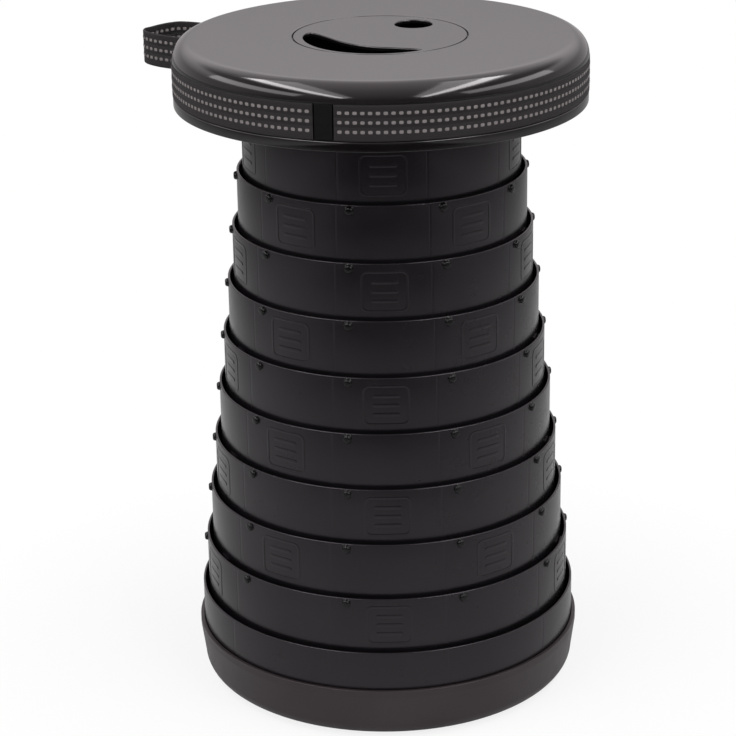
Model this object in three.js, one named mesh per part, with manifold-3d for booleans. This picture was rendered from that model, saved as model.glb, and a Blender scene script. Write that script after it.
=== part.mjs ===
// A stool whose ten nested plastic rings slide out of a base tray and carry a round seat lid.
// Millimetres, +Z up, the front of the seat towards -Y, origin on the floor under the middle.
import * as THREE from 'three';
import { mergeVertices } from 'three/addons/utils/BufferGeometryUtils.js';
import Module from 'manifold-3d';

const wasm = await Module();
wasm.setup();

// How finely round shapes are divided
const roundSteps = 60;
const smallSteps = 8;
const arcSteps = 4;
const studSides = 6;
const cornerSteps = 2;
const trayCornerSteps = 3;
const panelSteps = 2;

// Clearances
const touchGap = 0.3;      // between pieces that rest on each other
const runGap = 0.45;       // radial, between pieces that slide past each other
const endSlack = 0.35;     // along the slide, between a lug and its stop
const cutOverrun = 2;      // how far a cutter runs past what it cuts

// The nested rings
const ringCount = 10;      // ring_01 is the smallest, the last one is fixed in the tray
const firstRingRadius = 88.8;
const ringStep = 3.96;     // how much each ring grows on the one before
const ringWall = 1.6;
const ringHeight = 46;
const ringOverlap = 10.4;  // length that stays inside the next ring when drawn out

// Round studs near the rims
const studCount = 10;
const studAzimuth = -13;   // degrees from the front, positive to the right
const studRadius = 2.7;
const studClear = 0.31;    // between a stud and the wall of the next ring
const studDrop = 3.5;      // from the rim down to the stud's middle
const studRoot = 0.8;

// Lugs at the foot of each ring, and the stops and shelves inside the next one
const lugCount = 5;
const lugTurn = 18;        // degrees from a stud to a lug
const lugHalfAngle = 2.5;
const lugHeight = 4;
const stopHeight = 3;
const shelfHeight = 3;
const lockTurn = 5.9;      // degrees from a lug to the shelf that carries it when twisted
const lugRoot = 0.8;

// Relief panels on the rings' outer faces
const panelCount = 5;
const panelHalfAngle = 9;
const panelHeight = 25;
const panelClear = 0.05;   // between a panel and the stops that it slides past
const panelRoot = 0.7;

// The base tray
const floorTop = 14.4;
const floorThickness = 3.5;
const bandShow = 25.7;     // how much of the fixed ring stands above the tray's rim
const trayRimWall = 2.45;
const trayRimBand = 4.5;   // upright band below the rim
const trayTaper = 2.6;     // how far the flank leans in
const trayCornerRadius = 10;
const trayWall = 3;
const padEdge = 3.7;       // from the pads in to the foot's inner edge
const footClear = 1;       // the tray's underside above the floor
const trayRibHeight = 3;
const trayRibWidth = 2;
const trayRibCount = 5;
const trayHubWall = 3.7;    // round the pocket of the middle pad

// The rubber foot pads
const padCount = 10;
const padHalfAngle = 6;
const padWidth = 8;
const padHeight = 2.4;
const centrePadRadius = 12;

// The seat lid
const seatTravel = 33;      // into ring_01, until the lid's lip meets the tray's rim
const lidPlate = 4;
const stackClear = 3.7;    // between the nested rims and the screws when closed
const restGap = 0.5;       // between the lid's lip and the tray's rim when closed
const skirtGap = 1.1;      // from the fixed ring out to the lid's skirt
const skirtWall = 3.9;
const brimReach = 1.5;     // how far shoulder and lip stand out of the strap's groove
const shoulderWidth = 10.8;
const shoulderHeight = 12;
const lipRounding = 0.8;
const lipBand = 5.5;       // upright band between the lip's rounding and the strap's groove
const lidRibHeight = 6;
const lidRibWidth = 2;
const lidRibCount = 10;
const lidRibClear = 4;     // from the clamp ring out to where the ribs begin

// The round cap in the middle of the lid, with the finger slot and the thumb hole
const capRadius = 54.8;
const ledgeWidth = 2.8;      // the lid's ledge under the cap's rim
const ledgeThickness = 1.4;
const slotRim = 3.2;         // from the slot's outer edge out to the cap's edge
const slotWidth = 21.8;      // where it is widest
const slotStart = -101;      // azimuth of its left tip
const slotSpan = 131;        // degrees from tip to tip
// The slot's edges, each a share of its span, then the shares of its width that the outer and the
// inner edge lie inside its outer radius
const slotEdgeShares = [
  [0, 0.33, 0.33], [0.01, 0.25, 0.44], [0.035, 0.19, 0.57], [0.08, 0.16, 0.71], [0.14, 0.14, 0.84],
  [0.22, 0.125, 0.94], [0.31, 0.095, 0.985], [0.42, 0.045, 1], [0.54, 0.01, 0.955], [0.66, 0, 0.87],
  [0.77, 0, 0.77], [0.86, 0.01, 0.65], [0.93, 0.025, 0.47], [0.975, 0.045, 0.31],
  [0.995, 0.075, 0.18], [1, 0.11, 0.11],
];
const holeRadius = 12;
const holeRim = 6.3;         // from the hole's edge out to the cap's edge
const holeAzimuth = 143.7;

// The collar under the lid, which slides in ring_01, the ring that clamps it, and the screws
const collarLip = 2.2;       // how far the collar's top stands out over the clamp ring
const collarLipHeight = 1.8;
const clampWidth = 15;
const clampThickness = 3;
const screwCount = 5;
const screwShankRadius = 1.6;
const screwHeadRadius = 3.6;
const screwHeadHeight = 2;
const screwBite = 2.6;     // how far a screw goes into the lid
const screwClear = 0.3;

// The webbing strap round the lid
const strapThickness = 1.5;
const strapGap = 0.25;
const keeperAzimuth = -15.4;
const keeperHalfAngle = 2.4;
const strapEndGap = 0.4;   // degrees between neighbouring strap pieces
const loopSteps = 40;
// The carrying loop seen from above: share of the strap's radius, and azimuth
const loopRouteShares = [
  [1, -108.5], [1.008, -111], [1.045, -112.6], [1.14, -113.8], [1.23, -114.7], [1.312, -116.4],
  [1.352, -118.6], [1.345, -121], [1.338, -123.5], [1.322, -126.2], [1.288, -128.4], [1.19, -129.9],
  [1.1, -129.9], [1.037, -130.4], [1.008, -131.7], [1, -134],
];

// Values worked out from the sizes above
const ringTravel = ringHeight - ringOverlap;
const studReach = ringStep - ringWall - studClear;
const panelRelief = runGap - panelClear;
const trayHubRadius = centrePadRadius + touchGap + trayHubWall;
const fixedRingRadius = firstRingRadius + (ringCount - 1) * ringStep;
const fixedRingTop = floorTop + touchGap + ringHeight;
const trayRimTop = fixedRingTop - bandShow;
const trayInnerRadius = fixedRingRadius + touchGap;
const trayRimRadius = trayInnerRadius + trayRimWall;
const seatDrop = (ringCount - 1) * ringTravel + seatTravel;
const lidBottom = trayRimTop + restGap + seatDrop;
const stackRoom = 3 * touchGap + collarLipHeight + clampThickness + screwHeadHeight + stackClear;
const lidTop = fixedRingTop + seatDrop + stackRoom + lidPlate;
const lidUnder = lidTop - lidPlate;
const lidInnerRadius = fixedRingRadius + skirtGap;
const grooveRadius = lidInnerRadius + skirtWall;
const brimRadius = grooveRadius + brimReach;
const grooveTop = lidTop - shoulderHeight;
const grooveBottom = lidBottom + lipRounding + lipBand;
const strapTop = grooveTop - strapGap;
const strapBottom = grooveBottom + strapGap;
const collarRadius = firstRingRadius - ringStep;
const collarTop = lidUnder - touchGap;
const degree = Math.PI / 180;

const ringRadius = (index) => firstRingRadius + (index - 1) * ringStep;
const ringTop = (index) => fixedRingTop + (ringCount - index) * ringTravel;
const spreadAngles = (count, first) => Array.from({ length: count }, (_, i) => first + i * 360 / count);

// A place at a radius and an azimuth, seen from above
const polar = (radius, azimuth) => new THREE.Vector2(
  radius * Math.sin(azimuth * degree),
  -radius * Math.cos(azimuth * degree),
);

// Materials
const plastic = (name, color, roughness) => {
  const material = new THREE.MeshStandardMaterial({ color, roughness, metalness: 0 });
  material.name = name;
  return material;
};
const lidMaterial = () => plastic('gloss black plastic', 0x1c1b1d, 0.28);
const capMaterial = () => plastic('satin black cap', 0x242326, 0.38);
const ringMaterial = () => plastic('satin black plastic', 0x202022, 0.5);
const trayMaterial = () => plastic('charcoal plastic', 0x2b292a, 0.55);
const rubberMaterial = () => plastic('black rubber', 0x121212, 0.9);
const webbingMaterial = () => plastic('black webbing', 0x19191a, 0.85);
const keeperMaterial = () => plastic('plain black tape', 0x101011, 0.7);
const screwMaterial = () => {
  const material = new THREE.MeshStandardMaterial({ color: 0x8d8f92, roughness: 0.35, metalness: 1 });
  material.name = 'zinc-plated steel';
  return material;
};

// A closed geometry as a solid that can be joined and cut
function solid(geometry) {
  const bare = geometry.index ? geometry.toNonIndexed() : geometry.clone();
  bare.deleteAttribute('normal');
  bare.deleteAttribute('uv');
  const merged = mergeVertices(bare);
  const corners = merged.index.array;
  const kept = [];
  for (let i = 0; i < corners.length; i += 3) {
    const [a, b, c] = [corners[i], corners[i + 1], corners[i + 2]];
    if (a !== b && b !== c && c !== a) kept.push(a, b, c);
  }
  const mesh = new wasm.Mesh({
    numProp: 3,
    vertProperties: new Float32Array(merged.attributes.position.array),
    triVerts: new Uint32Array(kept),
  });
  mesh.merge();
  return new wasm.Manifold(mesh);
}

const joinAll = (solids) => solids.reduce((whole, next) => whole.add(next));

// A named mesh made from a solid
function piece(name, body, material) {
  const data = body.getMesh();
  const geometry = new THREE.BufferGeometry();
  geometry.setAttribute('position', new THREE.BufferAttribute(new Float32Array(data.vertProperties), 3));
  geometry.setIndex(new THREE.BufferAttribute(new Uint32Array(data.triVerts), 1));
  geometry.computeVertexNormals();
  const mesh = new THREE.Mesh(geometry, material);
  mesh.name = name;
  return mesh;
}

// A body of revolution about Z from [radius, height] points, with a corner at every stud's azimuth
function turned(points) {
  const outline = points.map(([radius, height]) => new THREE.Vector2(radius, height));
  if (THREE.ShapeUtils.isClockWise(outline)) outline.reverse();
  outline.push(outline[0].clone());
  const geometry = new THREE.LatheGeometry(outline, roundSteps, studAzimuth * degree, 2 * Math.PI);
  geometry.rotateX(Math.PI / 2);
  return solid(geometry);
}

// An upright block from an outline seen from above
function upright(points, low, high) {
  const shape = new THREE.Shape(points);
  const geometry = new THREE.ExtrudeGeometry(shape, {
    depth: high - low,
    bevelEnabled: false,
    curveSegments: smallSteps,
  });
  geometry.translate(0, 0, low);
  return solid(geometry);
}

// A block that follows the round wall from one azimuth to another
function sector(inner, outer, low, high, start, end, steps) {
  const azimuths = Array.from({ length: steps + 1 }, (_, i) => start + (end - start) * i / steps);
  const points = azimuths.map((azimuth) => polar(outer, azimuth));
  points.push(...azimuths.reverse().map((azimuth) => polar(inner, azimuth)));
  return upright(points, low, high);
}

// A straight rib that runs outwards at an azimuth
function radialRib(inner, outer, width, low, high, azimuth) {
  const geometry = new THREE.BoxGeometry(width, outer - inner, high - low);
  geometry.translate(0, -(inner + outer) / 2, (low + high) / 2);
  geometry.rotateZ(azimuth * degree);
  return solid(geometry);
}

// A round pin that points outwards at an azimuth
function radialPin(radius, inner, outer, height, azimuth) {
  const geometry = new THREE.CylinderGeometry(radius, radius, outer - inner, studSides);
  geometry.translate(0, -(inner + outer) / 2, 0);
  geometry.rotateZ(azimuth * degree);
  geometry.translate(0, 0, height);
  return solid(geometry);
}

// An upright round bar
function bar(radius, low, high, x, y, steps = smallSteps) {
  const geometry = new THREE.CylinderGeometry(radius, radius, high - low, steps);
  geometry.rotateX(Math.PI / 2);
  geometry.translate(x, y, (low + high) / 2);
  return solid(geometry);
}

// Points on an elliptical quarter from one height and radius to another, bulging outwards
function quarter(centreRadius, centreHeight, reach, rise, from, to, steps) {
  const points = [];
  for (let i = 0; i <= steps; i += 1) {
    const angle = (from + (to - from) * i / steps) * degree;
    points.push([centreRadius + reach * Math.cos(angle), centreHeight + rise * Math.sin(angle)]);
  }
  return points;
}

// The azimuths of the lugs of one ring, which alternate from ring to ring
const lugAzimuths = (index) => spreadAngles(
  lugCount, studAzimuth + lugTurn + (index % 2) * 180 / lugCount,
);

// Lugs at a ring's foot, which run inside the next larger ring
function lugs(index, outerRadius, bottom) {
  const reach = outerRadius + ringStep - ringWall - runGap;
  return lugAzimuths(index).map((azimuth) => sector(
    outerRadius - lugRoot, reach, bottom, bottom + lugHeight,
    azimuth - lugHalfAngle, azimuth + lugHalfAngle, 1,
  ));
}

// Stops and shelves inside a ring, for the lugs of the next smaller ring
function catches(index, outerRadius, top) {
  const inner = outerRadius - ringStep + runGap;
  const outer = outerRadius - ringWall + lugRoot;
  const lugBottom = top - ringOverlap;
  const stopBottom = lugBottom + lugHeight + endSlack;
  const shelfTop = lugBottom - endSlack;
  return lugAzimuths(index - 1).flatMap((azimuth) => [
    sector(
      inner, outer, stopBottom, stopBottom + stopHeight,
      azimuth - lugHalfAngle, azimuth + lugHalfAngle, 1,
    ),
    sector(
      inner, outer, shelfTop - shelfHeight, shelfTop,
      azimuth - lockTurn - lugHalfAngle, azimuth - lockTurn + lugHalfAngle, 1,
    ),
  ]);
}

// Raised panels on a ring's outer face, which alternate from ring to ring
function panels(index, outerRadius, top) {
  const middle = top - ringTravel / 2;
  const first = (index % 2) ? 0 : 180 / panelCount;
  return spreadAngles(panelCount, first).map((azimuth) => sector(
    outerRadius - panelRoot, outerRadius + panelRelief,
    middle - panelHeight / 2, middle + panelHeight / 2,
    azimuth - panelHalfAngle, azimuth + panelHalfAngle, panelSteps,
  ));
}

function studs(outerRadius, top) {
  return spreadAngles(studCount, studAzimuth).map((azimuth) => radialPin(
    studRadius, outerRadius - studRoot, outerRadius + studReach, top - studDrop, azimuth,
  ));
}

// One ring of the stack
function ring(index) {
  const outer = ringRadius(index);
  const top = ringTop(index);
  const bottom = top - ringHeight;
  const isFixed = index === ringCount;
  const parts = [
    turned([[outer - ringWall, bottom], [outer, bottom], [outer, top], [outer - ringWall, top]]),
    ...catches(index, outer, top),
  ];
  if (!isFixed) parts.push(...lugs(index, outer, bottom), ...panels(index, outer, top));
  if (!isFixed && index > 1) parts.push(...studs(outer, top));
  return piece(`ring_${String(index).padStart(2, '0')}`, joinAll(parts), ringMaterial());
}

// The tray that holds the fixed ring and takes every ring when the stool is closed
function baseTray() {
  const flankTop = trayRimTop - trayRimBand;
  const flankRadius = trayRimRadius - trayTaper;
  const cornerCentre = flankRadius - trayCornerRadius;
  const footInner = cornerCentre - touchGap - padWidth - padEdge;
  const floorUnder = floorTop - floorThickness;
  const tray = turned([
    [0, floorUnder],
    [footInner - trayWall, floorUnder],
    [footInner, footClear],
    ...quarter(
      cornerCentre, footClear + trayCornerRadius, trayCornerRadius, trayCornerRadius,
      -90, 0, trayCornerSteps,
    ),
    [trayRimRadius, flankTop],
    [trayRimRadius, trayRimTop],
    [trayInnerRadius, trayRimTop],
    [trayInnerRadius, floorTop],
    [0, floorTop],
  ]);
  const ribs = spreadAngles(trayRibCount, 0).map((azimuth) => radialRib(
    trayHubRadius / 2, footInner, trayRibWidth,
    floorUnder - trayRibHeight, floorUnder + touchGap, azimuth,
  ));
  const hub = bar(trayHubRadius, footClear, floorTop - floorThickness / 2, 0, 0, smallSteps * 2);
  const pockets = padAzimuths.map((azimuth) => sector(
    padInner - touchGap, padOuter + touchGap, footClear - cutOverrun, padHeight + touchGap,
    azimuth - padHalfAngle - touchGap, azimuth + padHalfAngle + touchGap, 2,
  ));
  pockets.push(bar(
    centrePadRadius + touchGap, footClear - cutOverrun, padHeight + touchGap, 0, 0, smallSteps * 2,
  ));
  return piece('base_tray', joinAll([tray, hub, ...ribs]).subtract(joinAll(pockets)), trayMaterial());
}

const padMiddle = trayRimRadius - trayTaper - trayCornerRadius - padWidth / 2 - touchGap;
const padInner = padMiddle - padWidth / 2;
const padOuter = padMiddle + padWidth / 2;
const padAzimuths = spreadAngles(padCount, 180 / padCount);

function footPads() {
  const centre = piece(
    'foot_pad_centre', bar(centrePadRadius, 0, padHeight, 0, 0, smallSteps * 2), rubberMaterial(),
  );
  return [centre, ...padAzimuths.map((azimuth, i) => piece(
    `foot_pad_${String(i + 1).padStart(2, '0')}`,
    sector(padInner, padOuter, 0, padHeight, azimuth - padHalfAngle, azimuth + padHalfAngle, 2),
    rubberMaterial(),
  ))];
}

// The crescent for four fingers, seen from above
function slotOutline() {
  const outerRadius = capRadius - slotRim;
  const place = (span, inset) => polar(
    outerRadius - inset * slotWidth, slotStart + span * slotSpan,
  );
  const outer = slotEdgeShares.map(([span, inset]) => place(span, inset));
  const inner = slotEdgeShares.slice(1, -1).map(([span, , inset]) => place(span, inset));
  return [...outer, ...inner.reverse()];
}

const slotCutter = (low, high) => upright(slotOutline(), low, high);
const holePlace = polar(capRadius - holeRim - holeRadius, holeAzimuth);
const holeCutter = (low, high) => bar(
  holeRadius, low, high, holePlace.x, holePlace.y, smallSteps * 2,
);

// The lid, open in the middle, with a ledge there for the cap
function seatLid() {
  const shoulderRadius = brimRadius - shoulderWidth;
  const recessRadius = capRadius + touchGap;
  const lid = turned([
    [recessRadius, lidTop],
    [recessRadius, lidUnder + ledgeThickness],
    [recessRadius - ledgeWidth, lidUnder + ledgeThickness],
    [recessRadius - ledgeWidth, lidUnder],
    [lidInnerRadius, lidUnder],
    [lidInnerRadius, grooveTop],
    ...quarter(shoulderRadius, grooveTop, shoulderWidth, lidTop - grooveTop, 0, 90, arcSteps),
  ]);
  const ribs = spreadAngles(lidRibCount, studAzimuth).map((azimuth) => radialRib(
    clampOuter + lidRibClear, lidInnerRadius + touchGap, lidRibWidth,
    lidUnder - lidRibHeight, lidUnder + touchGap, azimuth,
  ));
  const screwHoles = screwPlaces.map(({ x, y }) => bar(
    screwShankRadius + screwClear, lidUnder - cutOverrun, lidUnder + screwBite + screwClear, x, y,
  ));
  return piece('seat_lid', joinAll([lid, ...ribs]).subtract(joinAll(screwHoles)), lidMaterial());
}

// The lid's skirt below the top of the strap's groove, with the groove's wall and the lip
function lidSkirt() {
  const top = grooveTop - touchGap;
  return piece('seat_lid_skirt', turned([
    [lidInnerRadius, top],
    [lidInnerRadius, lidBottom],
    ...quarter(
      brimRadius - lipRounding, lidBottom + lipRounding, lipRounding, lipRounding,
      -90, 0, cornerSteps,
    ),
    [brimRadius, grooveBottom],
    [grooveRadius, grooveBottom],
    [grooveRadius, top],
  ]), lidMaterial());
}

function centreCap() {
  const low = lidUnder + ledgeThickness + touchGap;
  const disc = turned([[0, low], [capRadius, low], [capRadius, lidTop], [0, lidTop]]);
  const cuts = [
    slotCutter(low - cutOverrun, lidTop + cutOverrun),
    holeCutter(low - cutOverrun, lidTop + cutOverrun),
  ];
  return piece('seat_centre_cap', disc.subtract(joinAll(cuts)), capMaterial());
}

const clampInner = collarRadius + touchGap;
const clampOuter = collarRadius + clampWidth;
const screwCircle = (clampInner + collarLip + clampOuter) / 2;
const screwPlaces = spreadAngles(screwCount, 0).map((azimuth) => polar(screwCircle, azimuth));
const lipBottom = collarTop - collarLipHeight;
const clampBottom = lipBottom - touchGap - clampThickness;

// The collar that hangs from the lid and slides in ring_01
function seatCollar() {
  const bottom = ringTop(1) - ringOverlap;
  const collar = turned([
    [collarRadius - ringWall, bottom],
    [collarRadius, bottom],
    [collarRadius, lipBottom],
    [collarRadius + collarLip, lipBottom],
    [collarRadius + collarLip, collarTop],
    [collarRadius - ringWall, collarTop],
  ]);
  return piece('seat_collar', joinAll([collar, ...lugs(0, collarRadius, bottom)]), ringMaterial());
}

// The ring that is screwed to the lid and holds the collar's lip against it
function collarClampRing() {
  const stepRadius = collarRadius + collarLip + touchGap;
  const ringBody = turned([
    [clampInner, clampBottom],
    [clampOuter, clampBottom],
    [clampOuter, collarTop],
    [stepRadius, collarTop],
    [stepRadius, clampBottom + clampThickness],
    [clampInner, clampBottom + clampThickness],
  ]);
  const holes = screwPlaces.map(({ x, y }) => bar(
    screwShankRadius + screwClear, clampBottom - cutOverrun, collarTop + cutOverrun, x, y,
  ));
  return piece('collar_clamp_ring', ringBody.subtract(joinAll(holes)), ringMaterial());
}

function collarScrews() {
  const headTop = clampBottom - touchGap;
  return screwPlaces.map(({ x, y }, i) => piece(
    `collar_screw_${i + 1}`,
    joinAll([
      bar(screwHeadRadius, headTop - screwHeadHeight, headTop, x, y),
      bar(screwShankRadius, headTop - screwHeadHeight / 2, lidUnder + screwBite, x, y),
    ]),
    screwMaterial(),
  ));
}

const strapInner = grooveRadius + strapGap;
const strapOuter = strapInner + strapThickness;

// A flat stretch of webbing that lies in the lid's groove
function strapBand(name, start, end) {
  const steps = Math.max(1, Math.round((end - start) * roundSteps / 360));
  const band = sector(strapInner, strapOuter, strapBottom, strapTop, start, end, steps);
  return piece(name, band, webbingMaterial());
}

// The slack of the webbing, which stands out of the groove as a carrying loop
function strapLoop() {
  const middle = strapInner + strapThickness / 2;
  const route = loopRouteShares.map(([share, azimuth]) => polar(middle * share, azimuth));
  const places = route.map(({ x, y }) => new THREE.Vector3(x, y, 0));
  const curve = new THREE.CatmullRomCurve3(places, false, 'centripetal');
  const left = [];
  const right = [];
  for (let i = 0; i <= loopSteps; i += 1) {
    const place = curve.getPointAt(i / loopSteps);
    const heading = curve.getTangentAt(i / loopSteps);
    const across = new THREE.Vector2(-heading.y, heading.x).normalize();
    left.push(new THREE.Vector2(place.x, place.y).addScaledVector(across, strapThickness / 2));
    right.unshift(new THREE.Vector2(place.x, place.y).addScaledVector(across, -strapThickness / 2));
  }
  return piece('strap_loop', upright([...left, ...right], strapBottom, strapTop), webbingMaterial());
}

// The plain tape where the two ends of the webbing meet at the front
function strapKeeper() {
  return piece('strap_keeper', sector(
    strapInner, strapOuter, strapBottom, strapTop,
    keeperAzimuth - keeperHalfAngle, keeperAzimuth + keeperHalfAngle, 1,
  ), keeperMaterial());
}

const loopFrontAzimuth = loopRouteShares[0][1];
const loopBackAzimuth = loopRouteShares[loopRouteShares.length - 1][1];
const keeperLeft = keeperAzimuth - keeperHalfAngle;
const keeperRight = keeperAzimuth + keeperHalfAngle;

// The seat: everything that rises and sinks with the lid
const seat = new THREE.Group();
seat.name = 'seat';
seat.add(
  seatLid(),
  lidSkirt(),
  centreCap(),
  seatCollar(),
  collarClampRing(),
  ...collarScrews(),
  strapBand('strap_left', loopFrontAzimuth + strapEndGap, keeperLeft - strapEndGap),
  strapBand('strap_right', keeperRight + strapEndGap, loopBackAzimuth + 360 - strapEndGap),
  strapLoop(),
  strapKeeper(),
);

// The sliding rings, smallest first
const stack = new THREE.Group();
stack.name = 'stack';
for (let index = 1; index < ringCount; index += 1) stack.add(ring(index));

// The base: tray, fixed ring and feet
const base = new THREE.Group();
base.name = 'base';
base.add(baseTray(), ring(ringCount), ...footPads());

const stool = new THREE.Group();
stool.name = 'telescopic_stool';
stool.add(base, stack, seat);

export default stool;
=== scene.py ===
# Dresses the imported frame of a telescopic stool: ten nested rings, a tray and a round seat lid.
# Metres, +Z up, the front of the seat towards -Y. Azimuths are degrees from the front, to the right.
import math

import bmesh
import bpy
import numpy as np
from mathutils import Euler, Matrix, Quaternion, Vector


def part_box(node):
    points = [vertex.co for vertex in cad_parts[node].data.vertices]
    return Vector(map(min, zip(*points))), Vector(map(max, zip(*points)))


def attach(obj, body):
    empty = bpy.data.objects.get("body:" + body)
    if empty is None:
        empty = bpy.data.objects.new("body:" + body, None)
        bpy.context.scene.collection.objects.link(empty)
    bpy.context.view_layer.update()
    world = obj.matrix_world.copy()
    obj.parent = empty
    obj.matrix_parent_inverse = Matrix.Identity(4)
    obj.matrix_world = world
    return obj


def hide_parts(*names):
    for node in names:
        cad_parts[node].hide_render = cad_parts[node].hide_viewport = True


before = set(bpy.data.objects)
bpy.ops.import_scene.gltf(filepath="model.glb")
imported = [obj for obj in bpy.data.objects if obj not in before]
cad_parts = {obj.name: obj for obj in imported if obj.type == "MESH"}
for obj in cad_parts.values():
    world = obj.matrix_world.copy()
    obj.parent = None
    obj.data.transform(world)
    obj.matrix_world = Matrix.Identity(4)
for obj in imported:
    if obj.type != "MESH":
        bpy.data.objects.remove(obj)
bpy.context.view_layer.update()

mm = 0.001
scene = bpy.context.scene
print("frame loaded with", len(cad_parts), "CAD nodes")


# Sizes that come straight from the frame
def farthest(node):
    return max(vertex.co.xy.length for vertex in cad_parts[node].data.vertices)


def nearest(node):
    return min(vertex.co.xy.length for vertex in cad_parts[node].data.vertices)


ringCount = 10
ringNames = ["ring_%02d" % index for index in range(1, ringCount + 1)]
fixedRadius = farthest("ring_10")
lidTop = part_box("seat_lid")[1].z
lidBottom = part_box("seat_lid_skirt")[0].z
brimRadius = farthest("seat_lid")
strapLow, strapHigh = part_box("strap_right")[0].z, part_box("strap_right")[1].z
strapInner, strapOuter = nearest("strap_keeper"), farthest("strap_keeper")


# Outlines: a point is (across, up) or (across, up, rounding), and a rounded one becomes an arc
def rounded(points, steps=5):
    outline = []
    for i, point in enumerate(points):
        if len(point) < 3:
            outline.append((point[0], point[1]))
            continue
        here = Vector(point[:2])
        toBefore = (Vector(points[i - 1][:2]) - here).normalized()
        toAfter = (Vector(points[(i + 1) % len(points)][:2]) - here).normalized()
        half = toBefore.angle(toAfter) / 2
        centre = here + (toBefore + toAfter).normalized() * (point[2] / math.sin(half))
        first = here + toBefore * (point[2] / math.tan(half)) - centre
        last = here + toAfter * (point[2] / math.tan(half)) - centre
        start = math.atan2(first.y, first.x)
        turn = math.atan2(last.y, last.x) - start
        turn = (turn + math.pi) % (2 * math.pi) - math.pi
        for k in range(steps + 1):
            angle = start + turn * k / steps
            outline.append((centre.x + point[2] * math.cos(angle), centre.y + point[2] * math.sin(angle)))
    return outline


def quarterArc(centre, reach, rise, start, end, steps):
    angles = np.radians(np.linspace(start, end, steps + 1))
    return [(centre[0] + reach * math.cos(a), centre[1] + rise * math.sin(a)) for a in angles]


# Shells are (vertices, faces), and these are the faces between rows of vertices
def gridFaces(rows, across, looped=True, closed=True):
    faces = []
    for i in range(rows if looped else rows - 1):
        j = (i + 1) % rows
        for k in range(across if closed else across - 1):
            m = (k + 1) % across
            faces.append((i * across + k, j * across + k, j * across + m, i * across + m))
    return faces


# A profile of (radius, height) spun about Z
def spun(profile, azimuths, closed=True, press=None):
    angles = np.radians(azimuths)
    radii = np.array([p[0] for p in profile])
    heights = np.array([p[1] for p in profile])
    reach = np.tile(radii, (len(angles), 1))
    if press:
        reach = reach + press(np.asarray(azimuths)[:, None], reach, heights[None, :])
    x = reach * np.sin(angles)[:, None]
    y = -reach * np.cos(angles)[:, None]
    z = np.tile(heights, (len(angles), 1))
    vertices = np.stack([x, y, z], axis=-1).reshape(-1, 3)
    return vertices, gridFaces(len(angles), len(profile), closed=closed)


def evenTurn(steps, first=0.0):
    return first + np.arange(steps) * 360.0 / steps


# For a profile that isn't closed, such as one that begins and ends on the axis
def turned(profile, steps=64, first=0.0):
    return spun(profile, evenTurn(steps, first), closed=False)


# A closed section moved along stations, each a list of points in space, with flat ends
def lofted(stations, looped=False):
    across = len(stations[0])
    vertices = np.array(stations).reshape(-1, 3)
    faces = gridFaces(len(stations), across, looped)
    if not looped:
        last = (len(stations) - 1) * across
        faces.append(tuple(range(across)))
        faces.append(tuple(last + k for k in range(across)))
    return vertices, faces


def polar(radius, azimuth, height):
    a = math.radians(azimuth)
    return (radius * math.sin(a), -radius * math.cos(a), height)


def roundedBox(inner, outer, low, high, rounding, steps):
    return rounded([(inner, low, rounding), (outer, low, rounding),
                    (outer, high, rounding), (inner, high, rounding)], steps)


# A block that follows a round wall, as far to both sides of its azimuth as half says
def curvedBlock(inner, outer, low, high, azimuth, half, rounding=0.3 * mm, steps=4):
    section = roundedBox(inner, outer, low, high, rounding, 2)
    return lofted([[polar(r, a, z) for r, z in section]
                   for a in np.linspace(azimuth - half, azimuth + half, steps + 1)])


# A flat drawing (sideways, up, height above the wall) laid on a round wall
def onWall(point, radius, azimuth, middle):
    return polar(radius + point[2], azimuth + math.degrees(point[0] / radius), middle + point[1])


def makeMesh(name, shells):
    vertices, faces, base = [], [], 0
    for shellVertices, shellFaces in shells:
        vertices.extend(map(tuple, shellVertices))
        faces.extend(tuple(base + k for k in face) for face in shellFaces)
        base += len(shellVertices)
    mesh = bpy.data.meshes.new(name)
    mesh.from_pydata(vertices, [], faces)
    work = bmesh.new()
    work.from_mesh(mesh)
    bmesh.ops.remove_doubles(work, verts=work.verts, dist=1e-6)
    bmesh.ops.recalc_face_normals(work, faces=work.faces)
    work.to_mesh(mesh)
    work.free()
    return mesh


def smooth(obj, sharpAngle=32):
    obj.data.shade_smooth()
    obj.data.set_sharp_from_angle(angle=math.radians(sharpAngle))


def linked(name, data):
    obj = bpy.data.objects.new(name, data)
    scene.collection.objects.link(obj)
    return obj


def makePiece(name, shells, body, slotName, material, *nodes):
    obj = linked(name, makeMesh(name, shells))
    obj.data.materials.append(material)
    smooth(obj)
    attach(obj, body)
    if nodes:
        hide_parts(*nodes)
    return obj


def modified(obj, kind, **settings):
    modifier = obj.modifiers.new("shaping", kind)
    for key, value in settings.items():
        setattr(modifier, key, value)
    graph = bpy.context.evaluated_depsgraph_get()
    mesh = bpy.data.meshes.new_from_object(obj.evaluated_get(graph))
    obj.modifiers.clear()
    obj.data = mesh


def cutAway(obj, shells):
    cutter = linked("cutter", makeMesh("cutter", shells))
    modified(obj, "BOOLEAN", operation="DIFFERENCE", solver="EXACT", object=cutter)
    bpy.data.objects.remove(cutter)
    smooth(obj)
    # Flat faces beside small roundings keep level shading
    modified(obj, "WEIGHTED_NORMAL", keep_sharp=True, weight=100)


def addShells(obj, shells):
    extra = makeMesh("extra", shells)
    work = bmesh.new()
    work.from_mesh(obj.data)
    work.from_mesh(extra)
    work.to_mesh(obj.data)
    work.free()
    smooth(obj)


# Materials
def setInputs(node, values):
    for key, value in values.items():
        node.inputs[key].default_value = value


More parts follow.
